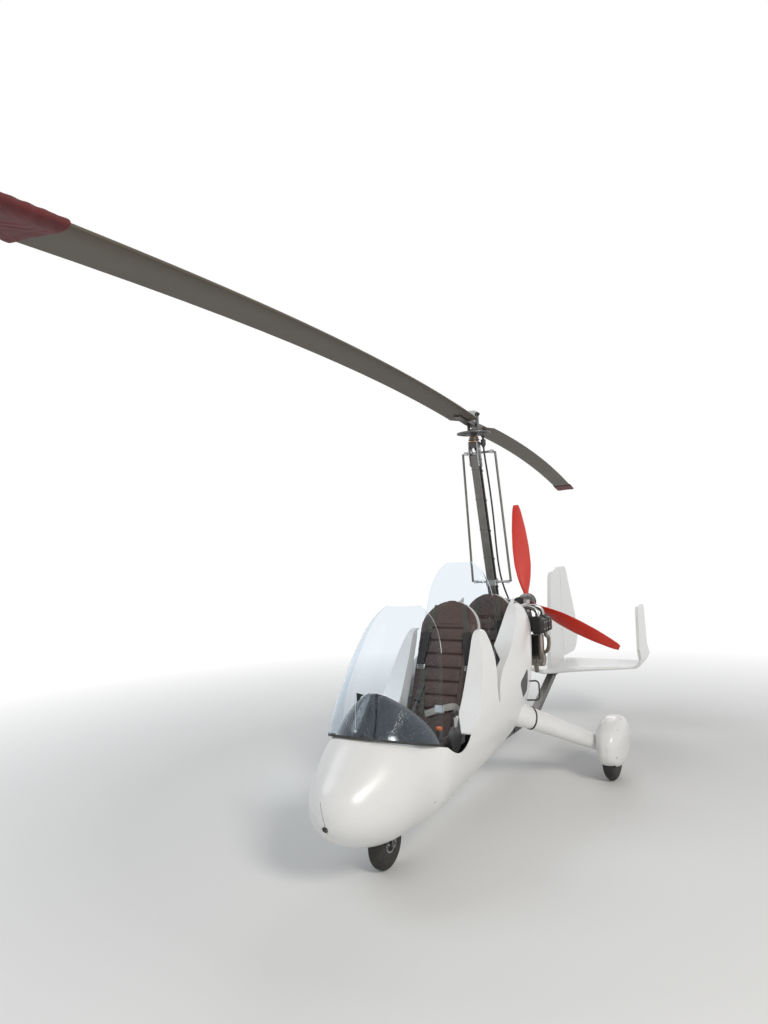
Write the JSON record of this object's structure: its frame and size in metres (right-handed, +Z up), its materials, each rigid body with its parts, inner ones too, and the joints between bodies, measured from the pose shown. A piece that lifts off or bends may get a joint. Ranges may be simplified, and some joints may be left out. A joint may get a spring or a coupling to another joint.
{
  "type": "gyrocopter",
  "caption": "Tandem gyrocopter with an open rotor head, pusher propeller, bubble windshields, swept gear legs and a low tailplane with end-plates.",
  "frame": {"origin": "on the ground, under the rotor hub, at the centre of the plan box", "axes": "-Y towards the nose, +X to the port side, +Z up"},
  "size_m": [1.8599, 8.6276, 2.816],
  "materials": {
    "black_gloss": "gloss black",
    "black_rubber": "matt black",
    "blade_grey": "satin grey-brown",
    "bright_aluminium": "machined",
    "clear_glazing": "clear lightly scratched",
    "dark_composite": "satin black",
    "engine_black": "dark castings",
    "exhaust_steel": "heat stained",
    "grey_aluminium": "anodised grey",
    "prop_red": "gloss red",
    "rim_alloy": "cast alloy",
    "seat_leather": "dark brown sewn leather",
    "sock_red": "dark red woven",
    "steel": "bare",
    "tyre_black": "black",
    "white_gelcoat": "gloss white composite"
  },
  "bodies": {
    "airframe": {"air_filters": "sock_red", "boarding_steps": "dark_composite", "cockpit_floor": "dark_composite", "cockpit_sticks": "dark_composite", "cockpit_tub": "white_gelcoat", "control_horns": "bright_aluminium", "cylinders": "engine_black", "end_plates": "white_gelcoat", "engine_block": "engine_black", "engine_mount": "steel", "exhaust": "exhaust_steel", "fin": "white_gelcoat", "front_seat_cushion": "seat_leather", "front_windshield": "clear_glazing", "gear_legs": "white_gelcoat", "gearbox": "engine_black", "head_block": "bright_aluminium", "instrument_cowl": "black_gloss", "intake": "bright_aluminium", "keel_boom": "grey_aluminium", "keel_brackets": "dark_composite", "leg_fairings": "white_gelcoat", "leg_rings": "black_rubber", "main_axles": "steel", "mast": "grey_aluminium", "mast_head": "bright_aluminium", "nose_wheel_well": "dark_composite", "oil_tank": "bright_aluminium", "pod_shell": "white_gelcoat", "prerotator": "engine_black", "pushrods": "grey_aluminium", "radiator": "engine_black", "rear_seat_cushion": "seat_leather", "rear_windshield": "clear_glazing", "rudder_hinges": "steel", "seat_shells": "white_gelcoat", "side_scoops": "dark_composite", "spats": "white_gelcoat", "steering_assembly": "grey_aluminium", "tailplane": "white_gelcoat", "throttle_quadrant": "dark_composite", "windshield_gaskets": "black_rubber"},
    "nose_fork": {"nose_fork": "steel"},
    "nose_wheel": {"nose_tyre": "tyre_black", "nose_rim": "rim_alloy"},
    "port_wheel": {"port_tyre": "tyre_black", "port_rim": "rim_alloy"},
    "starboard_wheel": {"starboard_tyre": "tyre_black", "starboard_rim": "rim_alloy"},
    "rudder": {"rudder": "white_gelcoat"},
    "propeller": {"prop_hub": "bright_aluminium", "prop_blades": "prop_red"},
    "rotor_drive": {"ring_gear": "engine_black", "rotor_tower": "steel"},
    "rotor": {"hub_bar": "steel", "teeter_block": "bright_aluminium", "front_blade": "blade_grey", "rear_blade": "blade_grey", "tip_socks": "sock_red"}
  },
  "joints": [
    {"name": "nose_steering", "type": "hinge", "parent": "airframe", "child": "nose_fork", "pos_m": [0, -1.58, 0.4], "axis": [0, 0, 1], "range_deg": [-15, 15]},
    {"name": "nose_wheel_spin", "type": "hinge", "parent": "nose_fork", "child": "nose_wheel", "pos_m": [0, -1.58, 0.15], "axis": [1, 0, 0], "continuous": true},
    {"name": "port_wheel_spin", "type": "hinge", "parent": "airframe", "child": "port_wheel", "pos_m": [0.812, 0.445, 0.178], "axis": [1, 0, 0], "continuous": true},
    {"name": "starboard_wheel_spin", "type": "hinge", "parent": "airframe", "child": "starboard_wheel", "pos_m": [-0.812, 0.445, 0.178], "axis": [1, 0, 0], "continuous": true},
    {"name": "rudder_hinge", "type": "hinge", "parent": "airframe", "child": "rudder", "pos_m": [0, 2.05, 1], "axis": [0, 0, 1], "range_deg": [-25, 25]},
    {"name": "propeller_spin", "type": "hinge", "parent": "airframe", "child": "propeller", "pos_m": [0, 1.05, 1.267], "axis": [0, 1, 0], "continuous": true},
    {"name": "rotor_spin", "type": "hinge", "parent": "airframe", "child": "rotor_drive", "pos_m": [0, 0, 2.65], "axis": [0, 0, 1], "continuous": true},
    {"name": "rotor_teeter", "type": "hinge", "parent": "rotor_drive", "child": "rotor", "pos_m": [0, 0, 2.79], "axis": [0.9928, 0.1196, 0], "range_deg": [-6, 6]}
  ],
  "couplings": [
    {"joint": "rudder_hinge", "follows": "nose_steering", "ratio": -1.6}
  ]
}
